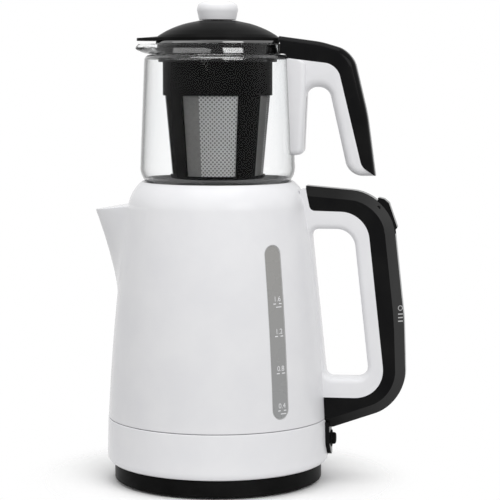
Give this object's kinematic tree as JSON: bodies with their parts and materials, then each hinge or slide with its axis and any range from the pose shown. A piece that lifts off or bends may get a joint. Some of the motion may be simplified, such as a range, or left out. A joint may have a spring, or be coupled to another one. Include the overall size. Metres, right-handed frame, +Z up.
{
  "type": "electric tea maker",
  "caption": "Cordless kettle on a power base, with a glass teapot in its mouth, a lift-out tea strainer and a knobbed lid; both pots have handles at the side.",
  "frame": {"origin": "on the kettle's axis at the table, under the middle of the power base", "axes": "+Z up along the axis of kettle, teapot and lid; +X to the handles, -X to the spouts; +Y away from the level window"},
  "size_m": [0.242, 0.172, 0.37],
  "materials": {
    "white_plastic": "glossy white",
    "black_plastic": "glossy black",
    "base_plastic": "satin black",
    "dark_plastic": "plain dark grey",
    "window_plastic": "smoke grey, see-through in life",
    "clear_glass": "clear",
    "steel": "brushed",
    "aluminium": "cast",
    "brass": "plain",
    "rubber": "matt black",
    "seal_rubber": "matt translucent grey"
  },
  "bodies": {
    "power_base": {"base_shell": "base_plastic", "base_plate": "base_plastic", "base_screws": "steel", "rubber_feet": "rubber", "base_socket": "base_plastic", "socket_contacts": "brass", "cord_gland": "rubber"},
    "kettle": {"kettle_body": "white_plastic", "handle_cover": "black_plastic", "kettle_skirt": "white_plastic", "kettle_underside": "dark_plastic", "skirt_screws": "steel", "teapot_seat": "white_plastic", "level_window": "window_plastic", "window_seal": "seal_rubber", "spout_filter_frame": "white_plastic", "spout_filter_mesh": "steel", "heating_plate": "steel", "plate_seal": "seal_rubber", "heating_element": "aluminium", "element_pins": "brass", "control_block": "dark_plastic", "bimetal_discs": "brass", "kettle_plug": "dark_plastic", "plug_pins": "brass", "steam_switch": "dark_plastic", "steam_grommet": "seal_rubber", "lever_pin": "steel", "button_bezel": "black_plastic", "button_switch": "dark_plastic"},
    "boil_lever": {"boil_lever": "black_plastic"},
    "keep_warm_button": {"keep_warm_button": "white_plastic"},
    "teapot": {"teapot_glass": "clear_glass", "teapot_handle": "white_plastic", "teapot_handle_cover": "black_plastic", "handle_bond": "seal_rubber"},
    "strainer": {"strainer_frame": "black_plastic", "strainer_mesh": "steel"},
    "lid": {"lid_dome": "black_plastic", "lid_knob": "white_plastic", "knob_screw": "steel"}
  },
  "joints": [
    {"name": "kettle_lift", "type": "slide", "parent": "power_base", "child": "kettle", "axis": [0, 0, 1], "range_m": [0, 0.06]},
    {"name": "teapot_lift", "type": "slide", "parent": "kettle", "child": "teapot", "axis": [0, 0, 1], "range_m": [0, 0.05]},
    {"name": "strainer_lift", "type": "slide", "parent": "teapot", "child": "strainer", "axis": [0, 0, 1], "range_m": [0, 0.13]},
    {"name": "lid_lift", "type": "slide", "parent": "strainer", "child": "lid", "axis": [0, 0, 1], "range_m": [0, 0.05]},
    {"name": "boil_lever_press", "type": "hinge", "parent": "kettle", "child": "boil_lever", "pos_m": [0.1245, 0, 0.213], "axis": [0, 1, 0], "range_deg": [0, 8]},
    {"name": "keep_warm_press", "type": "slide", "parent": "kettle", "child": "keep_warm_button", "axis": [-1, 0, 0], "range_m": [0, 0.0025], "stiffness_N_per_m": 300, "springref_m": -0.002}
  ]
}
